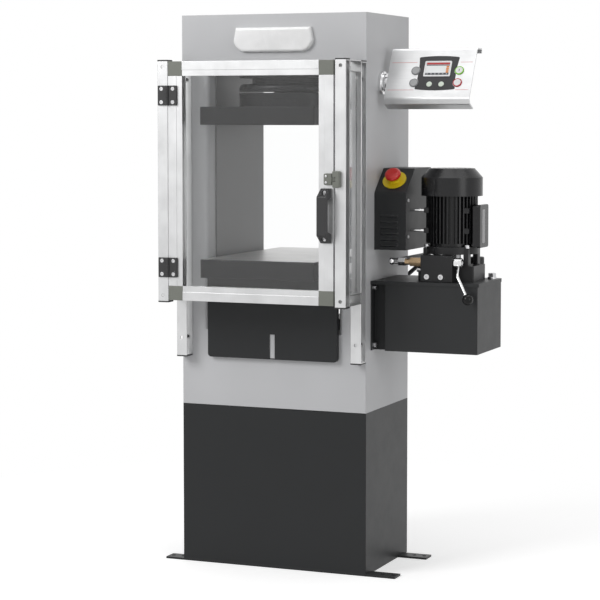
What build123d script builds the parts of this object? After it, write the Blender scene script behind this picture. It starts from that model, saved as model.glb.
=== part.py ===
from build123d import *
import math
import os

# Floor-standing compression testing machine with its guard, hydraulic unit, control box and console.
# Millimetres. +X is the operator's right, +Y goes to the back, +Z is up.
# The origin is on the floor, under the centre of the frame.

# Frame and base
frame_width = 500.0
frame_depth = 310.0
frame_top = 1394.5
base_height = 407.5
base_wall = 4.0
base_notch_left = -7.0
base_notch_right = 155.0
base_notch_depth = 3.0
column_width = 73.0
window_bottom = 600.0
window_top = 1252.0
window_edge_radius = 12.0
frame_edge_radius = 2.0

# Foot bars
foot_bar_width = 42.0
foot_bar_thickness = 5.0
foot_reach_left = 50.0
foot_reach_right = 77.0
rear_foot_inset = 30.0
foot_hole_diameter = 11.0
foot_hole_margin = 12.0
foot_inner_hole_pitch = 27.0

# Load train, on the frame's centre line
cylinder_diameter = 290.0
cylinder_bottom = 440.0
cylinder_collar_height = 26.0
cylinder_collar_diameter = 262.0
ram_diameter = 220.0
ram_clearance = 0.08
ram_bottom = 520.0
lower_platen_bottom = 738.7
lower_platen_thickness = 46.8
platen_width = 305.0
platen_depth = 510.0
upper_platen_bottom = 1119.0
upper_platen_thickness = 45.0
platen_edge_radius = 1.5
seat_disc_diameter = 290.0
seat_disc_height = 35.0
seat_groove_depth = 1.5
seat_groove_height = 3.0
seat_cup_height = 19.0
seat_neck_diameter = 224.0
seat_neck_height = 15.0
seat_gap = 4.0
seat_housing_fillet = 12.0
ball_radius = 100.0
ball_clearance = 0.1

# Column liners
liner_thickness = 3.0
liner_setback = 45.0
liner_rear_reach = 36.0

# Lower front cover
cover_left = -173.0
cover_right = 178.0
cover_bottom = 532.0
cover_top = 733.0
cover_proud = 14.0
cover_sheet = 2.0
cover_corner_radius = 9.0
cover_slot_left = -3.0
cover_slot_right = 11.0
cover_slot_top = 595.0

# Badge plate on the crosshead, left blank
badge_centre_x = 4.0
badge_width = 214.0
badge_bottom = 1300.0
badge_top = 1361.0
badge_proud = 12.0
badge_bottom_width = 150.0

# Guard
guard_standoff = 140.0
post_width = 28.0
post_depth = 28.0
post_bottom = 682.0
post_top = 1276.0
cap_thickness = 3.5
wall_post_depth = 35.0
wall_post_bottom = 535.0
wall_post_top = 1273.0
rail_height = 28.0
profile_wall = 2.5
side_pane_thickness = 4.0
post_screw_diameter = 9.0
profile_edge_radius = 1.5
wall_screw_low = 580.0
wall_screw_high = 1233.0
screw_head_height = 5.0
screw_head_diameter = 8.5
screw_shank_diameter = 5.0
screw_socket_diameter = 4.5
screw_fit = 0.1

# Door
door_right = 218.0
door_bottom = 684.5
door_top = 1275.5
door_thickness = 22.0
stile_width = 38.0
rail_width = 36.0
pane_thickness = 5.0
pane_engagement = 8.0
pane_fit = 0.2
profile_step = 1.2
profile_step_share = 0.6

# Door hinges
hinge_centres = [1191.5, 766.0]
hinge_leaf_height = 49.0
hinge_leaf_width = 25.0
hinge_leaf_thickness = 4.5
hinge_pin_diameter = 5.0
hinge_pin_clearance = 0.05
hinge_knuckle_diameter = 9.0
hinge_knuckles = 5
hinge_knuckle_gap = 0.3
hinge_screw_diameter = 9.5
hinge_screw_pitch = 33.0
hinge_screw_offset = 15.5
hinge_screw_depth = 3.0
hinge_screw_fit = 0.05
door_gap = 0.8

# Handle and latch
handle_centre_x = 201.0
handle_bottom = 836.0
handle_top = 968.0
handle_reach = 36.0
handle_bar_width = 24.0
handle_bar_thickness = 13.0
handle_foot_length = 22.0
handle_screw_diameter = 11.0
latch_left = 196.0
latch_right = 217.0
latch_bottom = 976.0
latch_top = 1004.0
latch_thickness = 8.0
keeper_left = 219.5
keeper_right = 237.0
keeper_bottom = 970.0
keeper_top = 1010.0
keeper_thickness = 12.0
latch_screw_inset = 6.5
latch_screw_diameter = 6.0
tongue_height = 9.0
tongue_reach = 7.0
tongue_thickness = 3.0
tongue_setback = 2.0
tongue_room = 1.0

# Oil tank, on the right side of the frame. A setback is the distance behind the frame's front face.
tank_gap = 38.0
tank_width = 238.0
tank_setback = 32.0
tank_depth = 198.0
tank_bottom = 561.5
tank_height = 169.5
tank_wall = 3.0
bracket_web_setback = 24.0
lid_thickness = 3.5
lid_overhang = 2.5
lid_lip_height = 5.0
lid_corner_radius = 9.0
bracket_screw_inset = 13.0
cap_head_diameter = 13.0
cap_head_height = 8.0
cap_shank_diameter = 8.0
cap_shank_length = 14.0
cap_socket_diameter = 6.0

# Manifold and lever
manifold_left = 375.0
manifold_width = 82.0
manifold_setback = 45.0
manifold_depth = 34.0
manifold_height = 65.5
manifold_screw_height = 13.0
manifold_screw_pitch = 36.0
port_height = 47.5
port_setback = 65.0
port_bore_diameter = 13.0
port_bore_depth = 14.0
lever_hub_diameter = 25.0
lever_hub_length = 20.0
lever_hub_setback = 62.0
lever_spindle_diameter = 12.0
lever_spindle_length = 24.0
running_clearance = 0.05
lever_rod_diameter = 7.0
lever_bend_drop = 29.0
lever_bend_forward = 40.0
lever_bend_out = 10.0
lever_bend_radius = 18.0
lever_ball_out = 43.0
lever_ball_forward = 58.0
lever_ball_drop = 83.5
lever_ball_diameter = 27.0

# Pressure fittings and hose
union_length = 32.0
union_across_flats = 21.0
collar_length = 13.0
bleed_screw_length = 15.0
bleed_screw_flats = 9.0
collar_diameter = 16.0
nut_length = 18.0
nut_across_flats = 19.0
elbow_diameter = 15.0
elbow_stem = 11.0
elbow_length = 20.0
hose_diameter = 11.0
hose_bend_radius = 55.0
hose_behind_frame = 62.0
hose_port_x = 130.0
hose_port_height = 640.0

# Motor on its bell housing
motor_x = 428.0
motor_setback = 130.0
bell_height = 67.0
bell_flange_thickness = 18.0
bell_flange_diameter = 136.0
bell_base_width = 144.0
bell_base_depth = 98.0
bell_base_height = 39.0
bell_base_round = 4.0
pillar_screw_drop = 3.0
pillar_offset_x = 52.0
pillar_offset_y = 38.0
pillar_width = 13.0
pillar_depth = 22.0
motor_body_height = 132.0
motor_core_diameter = 108.0
motor_fin_diameter = 128.0
motor_bore_diameter = 90.0
motor_fins = 40
fin_start = 8.0
motor_fin_thickness = 3.2
motor_end_wall = 9.0
foot_pad_offset_x = 52.0
foot_pad_offset_y = 38.0
foot_pad_size = 13.0
foot_pad_heights = [39.5, 89.5]
cowl_diameter = 152.0
cowl_bottom_gap = 125.0
cowl_side_height = 45.3
cowl_chamfer_height = 22.4
cowl_top_diameter = 112.0
cowl_wall = 2.0
cowl_grille_rings = 3
terminal_box_width = 70.0
terminal_box_height = 106.0
terminal_box_reach = 84.0
terminal_lid_thickness = 8.0
shaft_diameter = 19.0
rotor_diameter = 66.0
rotor_length = 70.0
fan_blades = 8
fan_diameter = 118.0
pump_diameter = 70.0
pump_length = 125.0
pump_shaft_diameter = 14.0
pump_shaft_grip = 14.0
coupling_diameter = 46.0
coupling_height = 32.0
coupling_clear = 4.0
fan_height = 20.0
fan_shaft_length = 25.0

# Filler and plug on the lid
filler_x = 469.0
filler_setback = 208.0
filler_neck_diameter = 22.0
filler_collar_diameter = 34.0
filler_collar_height = 14.0
filler_neck_height = 40.0
filler_cap_diameter = 36.0
filler_cap_height = 24.0
filler_cap_overlap = 10.0
filler_cap_grips = 12
plug_x = 511.0
plug_setback = 200.0
plug_across_flats = 18.0
plug_height = 15.0

# Control box
box_width = 83.0
box_setback = 56.0
box_depth = 190.0
box_bottom = 810.0
box_front_height = 142.0
box_height = 201.0
box_slope_run = 67.0
box_sheet = 1.5
box_bend_radius = 14.0
louvre_count = 6
louvre_length = 46.0
louvre_height = 7.5
louvre_proud = 3.5
louvre_first = 900.0
louvre_pitch = 14.6
louvre_inset = 17.0
estop_disc_diameter = 60.0
estop_disc_thickness = 2.5
estop_collar_diameter = 31.0
estop_collar_height = 7.0
estop_head_diameter = 40.0
estop_head_height = 13.0
estop_travel = 5.0
estop_stem_diameter = 16.0
standoff_diameter = 7.0
side_screw_inset = 15.0

# Console
console_left = 271.0
console_width = 221.0
console_pivot_setback = 107.0
console_pivot_height = 1223.0
console_sheet = 3.5
console_top = 1308.0
console_bottom = 1157.7
console_collar_diameter = 58.0
console_collar_thickness = 9.0
console_shaft_diameter = 30.0
console_case_inset = 19.0
console_case_depth = 44.0
ring_key_diameter = 23.0
small_key_diameter = 14.0
console_lip_depth = 34.0
panel_middle = 128.0
ring_key_offset = 56.3
small_key_offset = 15.5
case_low = 14.0
case_high = 128.0
shaft_grip = 12.0
overlay_width = 104.0
overlay_low = 26.0
overlay_high = 115.0
overlay_thickness = 0.8
screen_width = 69.0
screen_height = 43.0
screen_middle = 81.8
bezel_thickness = 2.0
key_sunk = 2.0
key_proud = 2.2
key_fit = 0.15
small_gap = 0.3

# Places that follow from the sizes above
front = -frame_depth / 2
half_width = frame_width / 2
window_half = half_width - column_width
guard_plane = front - guard_standoff
post_inner = half_width - post_width
ram_top = lower_platen_bottom
upper_platen_top = upper_platen_bottom + upper_platen_thickness
seat_disc_top = upper_platen_top + seat_disc_height
seat_cup_bottom = seat_disc_top + seat_gap
seat_cup_top = seat_cup_bottom + seat_cup_height
seat_neck_top = seat_cup_top + seat_neck_height


def block(x0, x1, y0, y1, z0, z1):
    centre = Pos((x0 + x1) / 2, (y0 + y1) / 2, (z0 + z1) / 2)
    return centre * Box(x1 - x0, y1 - y0, z1 - z0)


def rod_x(x0, x1, y, z, radius):
    return Pos((x0 + x1) / 2, y, z) * Rot(0, 90, 0) * Cylinder(radius, x1 - x0)


def rod_y(x, y0, y1, z, radius):
    return Pos(x, (y0 + y1) / 2, z) * Rot(90, 0, 0) * Cylinder(radius, y1 - y0)


def rod_z(x, y, z0, z1, radius):
    return Pos(x, y, (z0 + z1) / 2) * Cylinder(radius, z1 - z0)


def hex_x(x0, x1, y, z, across_flats):
    outline = RegularPolygon(across_flats / 2, 6, major_radius=False)
    return Plane((x0, y, z), x_dir=(0, 1, 0), z_dir=(1, 0, 0)) * extrude(outline, x1 - x0)


def hex_z(x, y, z0, z1, across_flats):
    outline = RegularPolygon(across_flats / 2, 6, major_radius=False)
    return Pos(x, y, z0) * extrude(outline, z1 - z0)


def side_profile(points, x0, x1):
    """Closed outline of (y, z) points, extruded from x0 to x1."""
    outline = make_face(Polyline(*[(0, y, z) for y, z in points], close=True))
    return Pos(x0, 0, 0) * extrude(outline, x1 - x0, dir=(1, 0, 0))


def edges_along(shape, axis, test):
    return [edge for edge in shape.edges().filter_by(axis) if test(edge.center())]


def write(name, solids):
    shape = solids[0] if len(solids) == 1 else Compound(children=solids)
    export_step(shape, "parts/" + name + ".step")


# Base and frame


def foot_bar_front_edges():
    return [front, -front - rear_foot_inset - foot_bar_width]


def foot_holes():
    """Hole centres of both bars as (x, y): the outer four anchor the machine, the inner four level it."""
    outer = [-half_width - foot_reach_left + foot_hole_margin,
             half_width + foot_reach_right - foot_hole_margin]
    inner = [outer[0] + foot_inner_hole_pitch, outer[1] - foot_inner_hole_pitch]
    rows = [edge + foot_bar_width / 2 for edge in foot_bar_front_edges()]
    return [(x, y) for y in rows for x in outer + inner]


def foot_bars():
    bars = []
    for edge in foot_bar_front_edges():
        left = -half_width - foot_reach_left
        right = half_width + foot_reach_right
        bar = block(left, right, edge, edge + foot_bar_width, 0, foot_bar_thickness)
        for x, y in foot_holes():
            bar -= rod_z(x, y, -1, foot_bar_thickness + 1, foot_hole_diameter / 2)
        bars.append(bar)
    return bars


def base_pedestal():
    base = block(-half_width, half_width, front, -front, 0, base_height)
    base = fillet(edges_along(base, Axis.Z, lambda c: True), frame_edge_radius)
    inner = half_width - base_wall
    base -= block(-inner, inner, front + base_wall, -front - base_wall, foot_bar_thickness,
                  base_height - base_wall)
    for edge in foot_bar_front_edges():
        far = half_width + foot_reach_left + foot_reach_right
        base -= block(-far, far, edge, edge + foot_bar_width, -1, foot_bar_thickness)
    notch_floor = base_height - base_notch_depth
    base -= block(base_notch_left, base_notch_right, front - 1, front + base_wall / 2, notch_floor,
                  base_height + 1)
    return base


def load_frame():
    frame = block(-half_width, half_width, front, -front, base_height, frame_top)
    frame = fillet(edges_along(frame, Axis.Z, lambda c: True), frame_edge_radius)
    frame -= block(-window_half, window_half, front - 1, 1 - front, window_bottom, window_top)
    inner_edges = edges_along(frame, Axis.Z, lambda c: abs(abs(c.X) - window_half) < 1 and c.Y < 0)
    frame = fillet(inner_edges, window_edge_radius)
    frame -= rod_z(0, 0, cylinder_bottom, window_bottom + 1, cylinder_diameter / 2 + running_clearance)
    return frame


def column_liners():
    liners = []
    for side in (-1, 1):
        near = side * window_half
        far = side * (window_half - liner_thickness)
        y0 = front + liner_setback
        y1 = -front + liner_rear_reach
        liners.append(block(min(near, far), max(near, far), y0, y1, window_bottom, window_top))
    return liners


def badge_plate():
    half = badge_width / 2
    half_bottom = badge_bottom_width / 2
    shoulder = badge_bottom + (badge_top - badge_bottom) * 0.45
    outline = Polyline((-half, shoulder), (-half + 6, badge_top), (half - 6, badge_top), (half, shoulder))
    right = ThreePointArc((half, shoulder), (half - 10, badge_bottom + 9), (half_bottom, badge_bottom))
    left = ThreePointArc((-half_bottom, badge_bottom), (-half + 10, badge_bottom + 9), (-half, shoulder))
    floor = Line((half_bottom, badge_bottom), (-half_bottom, badge_bottom))
    face = make_face(outline + right + floor + left)
    plate = extrude(face, badge_proud)
    rim = plate.edges().group_by(Axis.Z)[-1]
    plate = fillet(rim, badge_proud * 0.55)
    return Plane((badge_centre_x, front, 0), x_dir=(1, 0, 0), z_dir=(0, -1, 0)) * plate


def lower_front_cover():
    y0 = front - cover_proud
    cover = block(cover_left, cover_right, y0, front, cover_bottom, cover_top)
    lower = edges_along(cover, Axis.Y, lambda c: c.Z < cover_bottom + 1)
    cover = fillet(lower, cover_corner_radius)
    inside = block(
        cover_left + cover_sheet, cover_right - cover_sheet, y0 + cover_sheet, front + 1,
        cover_bottom + cover_sheet, cover_top + 1,
    )
    lower = edges_along(inside, Axis.Y, lambda c: c.Z < cover_bottom + cover_sheet + 1)
    cover -= fillet(lower, cover_corner_radius - cover_sheet)
    cover -= block(cover_slot_left, cover_slot_right, y0 - 1, y0 + cover_sheet + 1, cover_bottom - 1,
                   cover_slot_top)
    return cover


# Load train


def hydraulic_cylinder():
    collar_top = window_bottom + cylinder_collar_height
    body = rod_z(0, 0, cylinder_bottom, window_bottom, cylinder_diameter / 2)
    body += rod_z(0, 0, window_bottom, collar_top, cylinder_collar_diameter / 2)
    bore_floor = cylinder_bottom + (ram_bottom - cylinder_bottom) / 2
    body -= rod_z(0, 0, bore_floor, collar_top + 1, ram_diameter / 2)
    return body


def ram_piston():
    radius = ram_diameter / 2 - ram_clearance
    ram = rod_z(0, 0, ram_bottom, ram_top, radius)
    return chamfer(ram.edges().group_by(Axis.Z)[0], 3)


def platen(z0, thickness):
    plate = block(-platen_width / 2, platen_width / 2, -platen_depth / 2, platen_depth / 2, z0,
                  z0 + thickness)
    return chamfer(plate.edges(), platen_edge_radius)


def ball_seat():
    radius = seat_disc_diameter / 2
    seat = rod_z(0, 0, upper_platen_top, seat_disc_top, radius)
    mid = upper_platen_top + seat_disc_height / 2
    groove = rod_z(0, 0, mid, mid + seat_groove_height, radius + 1)
    groove -= rod_z(0, 0, mid, mid + seat_groove_height, radius - seat_groove_depth)
    seat -= groove
    ball = Pos(0, 0, upper_platen_bottom) * Sphere(ball_radius)
    cap_top = upper_platen_bottom + ball_radius
    seat += ball & rod_z(0, 0, seat_disc_top, cap_top + 1, ball_radius)
    return seat


def upper_seat_housing():
    radius = seat_disc_diameter / 2
    cup = rod_z(0, 0, seat_cup_bottom, seat_cup_top, radius)
    cup = fillet(cup.edges().group_by(Axis.Z)[-1], seat_housing_fillet)
    cup += rod_z(0, 0, seat_cup_top, seat_neck_top, seat_neck_diameter / 2)
    cup += rod_z(0, 0, seat_neck_top, window_top, radius)
    cup -= Pos(0, 0, upper_platen_bottom) * Sphere(ball_radius + ball_clearance)
    return cup


# Guard

door_left = -post_inner + door_gap
post_centre = half_width - post_width / 2
screw_heights_front = [post_bottom + rail_height / 2, post_top - rail_height / 2]
screw_heights_wall = [wall_screw_low, wall_screw_high]


def hollow_profile(x0, x1, y0, y1, z0, z1, along):
    """Square tube with softened long edges, open at both ends."""
    tube = block(x0, x1, y0, y1, z0, z1)
    tube = fillet(edges_along(tube, along, lambda c: True), profile_edge_radius)
    wall = profile_wall
    end = 1.0
    if along is Axis.Z:
        return tube - block(x0 + wall, x1 - wall, y0 + wall, y1 - wall, z0 - end, z1 + end)
    if along is Axis.Y:
        return tube - block(x0 + wall, x1 - wall, y0 - end, y1 + end, z0 + wall, z1 - wall)
    return tube - block(x0 - end, x1 + end, y0 + wall, y1 - wall, z0 + wall, z1 - wall)


def post_spans():
    """Each upright as (side, y0, y1, z0, z1, screw heights)."""
    spans = []
    for side in (-1, 1):
        spans.append((side, guard_plane, guard_plane + post_depth, post_bottom, post_top,
                      screw_heights_front))
        spans.append((side, front - wall_post_depth, front, wall_post_bottom, wall_post_top,
                      screw_heights_wall))
    return spans


def guard_uprights():
    uprights = []
    for side, y0, y1, z0, z1, heights in post_spans():
        x = side * post_centre
        post = hollow_profile(x - post_width / 2, x + post_width / 2, y0, y1, z0, z1, Axis.Z)
        for z in heights:
            post -= rod_y(x, y0 - 1, y0 + profile_wall + 1, z, post_screw_diameter / 2)
            post -= rod_y(x, y1 - profile_wall - 1, y1 + 1, z, screw_shank_diameter / 2 + screw_fit)
        uprights.append(post)
    return uprights


def guard_side_rails():
    rails = []
    y0 = guard_plane + post_depth
    y1 = front - wall_post_depth
    for side in (-1, 1):
        x = side * post_centre
        for z0 in (post_bottom, post_top - rail_height):
            rails.append(hollow_profile(
                x - post_width / 2, x + post_width / 2, y0, y1, z0, z0 + rail_height, Axis.Y))
    return rails


def guard_side_panes():
    panes = []
    for side in (-1, 1):
        x = side * post_centre
        half = side_pane_thickness / 2
        z0 = post_bottom + rail_height
        z1 = post_top - rail_height
        panes.append(block(x - half, x + half, guard_plane + post_depth, front - wall_post_depth, z0, z1))
    return panes


def guard_end_caps():
    caps = []
    for side, y0, y1, z0, z1, heights in post_spans():
        x = side * post_centre
        half = post_width / 2
        low = block(x - half, x + half, y0, y1, z0 - cap_thickness, z0)
        high = block(x - half, x + half, y0, y1, z1, z1 + cap_thickness)
        caps.append(chamfer(low.faces().sort_by(Axis.Z)[0].edges(), 1))
        caps.append(chamfer(high.faces().sort_by(Axis.Z)[-1].edges(), 1))
    return caps


def guard_screws():
    """Socket screws inside the uprights, with their heads against the rear wall."""
    screws = []
    for side, y0, y1, z0, z1, heights in post_spans():
        x = side * post_centre
        seat = y1 - profile_wall
        for z in heights:
            screw = rod_y(x, seat - screw_head_height, seat, z, screw_head_diameter / 2)
            screw += rod_y(x, seat, y1, z, screw_shank_diameter / 2)
            socket_floor = seat - screw_head_height / 2
            screw -= rod_y(x, seat - screw_head_height - 1, socket_floor, z, screw_socket_diameter / 2)
            screws.append(screw)
    return screws


# Door


def door_profile(length, width):
    """Bar along Z with its front at y = 0, a stepped front and a groove for the pane at x = width."""
    bar = block(0, width, 0, door_thickness, 0, length)
    step_start = width * profile_step_share
    bar -= block(step_start, width + 1, -1, profile_step, -1, length + 1)
    bar = fillet(edges_along(bar, Axis.Z, lambda c: c.Y < 0.1), profile_step / 2)
    mid = door_thickness / 2
    half_groove = pane_thickness / 2 + pane_fit
    bar -= block(width - pane_engagement - pane_fit, width + 1, mid - half_groove, mid + half_groove,
                 -1, length + 1)
    wall = profile_wall
    bar -= block(wall, width - pane_engagement - wall, wall + profile_step, door_thickness - wall, -1,
                 length + 1)
    return bar


def door_profiles():
    """Two stiles and two rails between the corner blocks."""
    stile_length = door_top - door_bottom - 2 * rail_width
    rail_length = door_right - door_left - 2 * stile_width
    stile = door_profile(stile_length, stile_width)
    rail = door_profile(rail_length, rail_width)
    left = Pos(door_left, guard_plane, door_bottom + rail_width) * stile
    right = Pos(door_right, guard_plane, door_bottom + rail_width) * mirror(stile, Plane.YZ)
    to_rail = Plane((door_left + stile_width, guard_plane, door_bottom), x_dir=(0, 0, 1), z_dir=(1, 0, 0))
    flipped = mirror(rail, Plane.XZ)
    bottom = to_rail * flipped
    to_top = Plane((door_left + stile_width, guard_plane, door_top), x_dir=(0, 0, -1), z_dir=(1, 0, 0))
    top = to_top * rail
    return [left, right, bottom, top]


def pane_block(extra):
    """The pane's own block, grown by extra on every side."""
    x0 = door_left + stile_width - pane_engagement - extra
    x1 = door_right - stile_width + pane_engagement + extra
    mid = guard_plane + door_thickness / 2
    half = pane_thickness / 2 + extra
    z0 = door_bottom + rail_width - pane_engagement - extra
    z1 = door_top - rail_width + pane_engagement + extra
    return block(x0, x1, mid - half, mid + half, z0, z1)


def door_corner_blocks():
    corners = []
    for x0 in (door_left, door_right - stile_width):
        for z0 in (door_bottom, door_top - rail_width):
            corner = block(x0, x0 + stile_width, guard_plane, guard_plane + door_thickness, z0,
                           z0 + rail_width)
            corner = fillet(corner.faces().sort_by(Axis.Y)[0].edges(), profile_edge_radius)
            corners.append(corner - pane_block(pane_fit))
    return corners


def hinge_pivot():
    return -post_inner, guard_plane - hinge_knuckle_diameter / 2 - 0.2


def hinge_leaves(side):
    """side -1 gives the leaves on the post, +1 those on the door. Knuckles alternate along each pin."""
    leaves = []
    x, y = hinge_pivot()
    pitch = hinge_leaf_height / hinge_knuckles
    for centre in hinge_centres:
        z0 = centre - hinge_leaf_height / 2
        edge = x + side * hinge_leaf_width
        leaf = block(min(x, edge), max(x, edge), guard_plane - hinge_leaf_thickness, guard_plane, z0,
                     z0 + hinge_leaf_height)
        leaf = chamfer(edges_along(leaf, Axis.Y, lambda c: abs(c.X - edge) < 1), 1)
        for row in range(hinge_knuckles):
            low = z0 + row * pitch
            own = (row % 2 == 0) == (side < 0)
            if own:
                leaf += rod_z(x, y, low + hinge_knuckle_gap / 2, low + pitch - hinge_knuckle_gap / 2,
                              hinge_knuckle_diameter / 2)
            else:
                leaf -= rod_z(x, y, low - hinge_knuckle_gap / 2, low + pitch + hinge_knuckle_gap / 2,
                              hinge_knuckle_diameter / 2 + hinge_knuckle_gap)
        near = block(min(x, x - side * 9), max(x, x - side * 9), guard_plane - hinge_leaf_thickness,
                     guard_plane,
                     z0, z0 + hinge_leaf_height)
        leaf -= near - rod_z(x, y, z0 - 1, z0 + hinge_leaf_height + 1, hinge_knuckle_diameter / 2)
        leaf -= rod_z(x, y, z0 - 1, z0 + hinge_leaf_height + 1,
                      hinge_pin_diameter / 2 + hinge_pin_clearance)
        for z in (centre - hinge_screw_pitch / 2, centre + hinge_screw_pitch / 2):
            leaf -= hinge_screw(x + side * hinge_screw_offset, z, hinge_screw_fit)
        leaves.append(leaf)
    return leaves


def hinge_screw(x, z, grow):
    """Countersunk head, flush with the leaf. grow widens it into its own countersink."""
    top = hinge_screw_diameter / 2 + grow
    tip = hinge_screw_diameter / 4 + grow
    y_head = guard_plane - hinge_leaf_thickness
    head = Plane((x, y_head, z), x_dir=(1, 0, 0), z_dir=(0, 1, 0)) * Pos(0, 0,
                                                                         hinge_screw_depth / 2) * Cone(
        top, tip, hinge_screw_depth)
    return head + rod_y(x, y_head + hinge_screw_depth, guard_plane, z, tip)


def hinge_screws(side):
    x, y = hinge_pivot()
    screws = []
    for centre in hinge_centres:
        for z in (centre - hinge_screw_pitch / 2, centre + hinge_screw_pitch / 2):
            sx = x + side * hinge_screw_offset
            screw = hinge_screw(sx, z, 0)
            y_head = guard_plane - hinge_leaf_thickness
            recess = rod_y(sx, y_head - 1, y_head + 1.2, z, hinge_screw_diameter / 5)
            screws.append(screw - recess)
    return screws


def hinge_pins():
    x, y = hinge_pivot()
    pins = []
    for centre in hinge_centres:
        half = hinge_leaf_height / 2
        pins.append(rod_z(x, y, centre - half, centre + half, hinge_pin_diameter / 2))
    return pins


def handle_section_points():
    """Centre line of the bridge handle as (y, z), from the lower foot to the upper one."""
    out = guard_plane - handle_reach + handle_bar_thickness / 2
    low = handle_bottom
    high = handle_top
    return out, low, high


def door_handle():
    out, low, high = handle_section_points()
    back = guard_plane
    face = out - handle_bar_thickness / 2
    inner = out + handle_bar_thickness / 2
    foot = handle_foot_length
    slant = handle_reach * 0.55
    points = [
        (back, low), (back - slant * 0.4, low), (face, low + slant), (face, high - slant),
        (back - slant * 0.4, high), (back, high), (back, high - foot), (inner, high - foot - 6),
        (inner, low + foot + 6), (back, low + foot),
    ]
    x0 = handle_centre_x - handle_bar_width / 2
    grip = side_profile(points, x0, x0 + handle_bar_width)
    long_edges = grip.edges().filter_by(Axis.X)
    outer = [edge for edge in long_edges if edge.center().Y < back - 1]
    grip = fillet(outer, 4)
    for z in (low + foot / 2, high - foot / 2):
        grip -= rod_y(handle_centre_x, back - handle_reach, back - 9, z, handle_screw_diameter / 2 + 0.5)
        grip -= rod_y(handle_centre_x, back - handle_reach, back + 1, z, handle_screw_diameter / 4 + 0.1)
    return grip


def door_screws():
    """Hinge screws in the stile, handle screws and latch screws."""
    screws = hinge_screws(1)
    out, low, high = handle_section_points()
    for z in (low + handle_foot_length / 2, high - handle_foot_length / 2):
        seat = guard_plane - 9
        screw = rod_y(handle_centre_x, seat - 5, seat, z, handle_screw_diameter / 2)
        screw += rod_y(handle_centre_x, seat, guard_plane, z, handle_screw_diameter / 4)
        screw -= rod_y(handle_centre_x, seat - 6, seat - 2.5, z, handle_screw_diameter / 4)
        screws.append(screw)
    for z in latch_screw_heights():
        head = guard_plane - latch_thickness
        x = latch_left + latch_screw_inset
        screw = rod_y(x, head - 2, head, z, latch_screw_diameter / 2)
        screws.append(fillet(screw.edges().sort_by(Axis.Y)[:1], 0.8))
    return screws


def latch_screw_heights():
    return [latch_bottom + latch_screw_inset, latch_top - latch_screw_inset]


def door_latch():
    """Plate on the stile with a tongue that stands in the keeper when the door is shut."""
    plate = block(latch_left, latch_right, guard_plane - latch_thickness, guard_plane, latch_bottom,
                  latch_top)
    plate = fillet(edges_along(plate, Axis.Y, lambda c: c.X < latch_left + 1), 4)
    plate = fillet(plate.faces().sort_by(Axis.Y)[0].edges(), 1)
    mid = (latch_bottom + latch_top) / 2
    half = tongue_height / 2
    y0 = guard_plane - latch_thickness + tongue_setback
    return plate + block(latch_right - 1, keeper_left + tongue_reach, y0, y0 + tongue_thickness,
                         mid - half, mid + half)


def latch_keeper():
    """Catch on the post, open towards the operator so that the tongue can swing out of it."""
    keeper = block(keeper_left, keeper_right, guard_plane - keeper_thickness, guard_plane,
                   keeper_bottom, keeper_top)
    keeper = fillet(edges_along(keeper, Axis.Y, lambda c: True), 3)
    keeper = fillet(keeper.faces().sort_by(Axis.Y)[0].edges(), 1.5)
    mid = (latch_bottom + latch_top) / 2
    half = tongue_height / 2 + tongue_room
    end = keeper_left + tongue_reach + tongue_room
    y1 = guard_plane - latch_thickness + tongue_setback + tongue_thickness + tongue_room
    return keeper - block(keeper_left - 1, end, guard_plane - keeper_thickness - 1, y1, mid - half,
                          mid + half)


# Oil tank

tank_left = half_width + tank_gap
tank_right = tank_left + tank_width
tank_front = front + tank_setback
tank_back = tank_front + tank_depth
tank_top = tank_bottom + tank_height
lid_top = tank_top + lid_thickness


def oil_tank():
    """Open tank with the channel bracket that is welded to its left side."""
    tank = block(tank_left, tank_right, tank_front, tank_back, tank_bottom, tank_top)
    tank = fillet(edges_along(tank, Axis.Z, lambda c: c.X > tank_left + 1), 2)
    tank -= block(tank_left + tank_wall, tank_right - tank_wall, tank_front + tank_wall,
                  tank_back - tank_wall,
                  tank_bottom + tank_wall, tank_top + 1)
    web = tank_front + bracket_web_setback
    leg = block(half_width, half_width + tank_wall, tank_front, web + tank_wall, tank_bottom, tank_top)
    back = block(half_width, tank_left, web, web + tank_wall, tank_bottom, tank_top)
    rear_leg = block(half_width, half_width + tank_wall, tank_back - bracket_web_setback, tank_back,
                     tank_bottom,
                     tank_top)
    rear = block(half_width, tank_left, tank_back - tank_wall, tank_back, tank_bottom, tank_top)
    tank += leg + back + rear_leg + rear
    for x, y, z in bracket_screw_places():
        tank -= rod_x(half_width - 1, half_width + tank_wall + 1, y, z,
                      cap_shank_diameter / 2 + screw_fit)
    return tank


def bracket_screw_places():
    y = tank_front + bracket_screw_inset
    heights = [tank_bottom + bracket_screw_inset, tank_top - bracket_screw_inset]
    return [(half_width + tank_wall, y, z) for z in heights]


def tank_lid():
    """Lid with a folded lip. It reaches over the bracket to the frame's side."""
    y0 = tank_front - lid_overhang
    y1 = tank_back + lid_overhang
    x1 = tank_right + lid_overhang
    lid = block(half_width, x1, y0, y1, tank_top - lid_lip_height, lid_top)
    lid = fillet(edges_along(lid, Axis.Z, lambda c: c.X > tank_right), lid_corner_radius)
    left = edges_along(lid, Axis.Y, lambda c: c.X < half_width + 1 and c.Z > tank_top)
    lid = fillet(left, lid_thickness * 0.7)
    room = small_gap
    lid -= block(half_width - 1, tank_right + room, tank_front - room, tank_back + room,
                 tank_top - lid_lip_height - 1,
                 tank_top)
    lid -= rod_z(motor_x, motor_y, tank_top - 1, lid_top + 1, pump_diameter / 2 + running_clearance)
    lid -= rod_z(filler_x, front + filler_setback, tank_top - 1, lid_top + 1,
                 filler_neck_diameter / 2 + screw_fit)
    return lid


# Manifold, valve and lever

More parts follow.
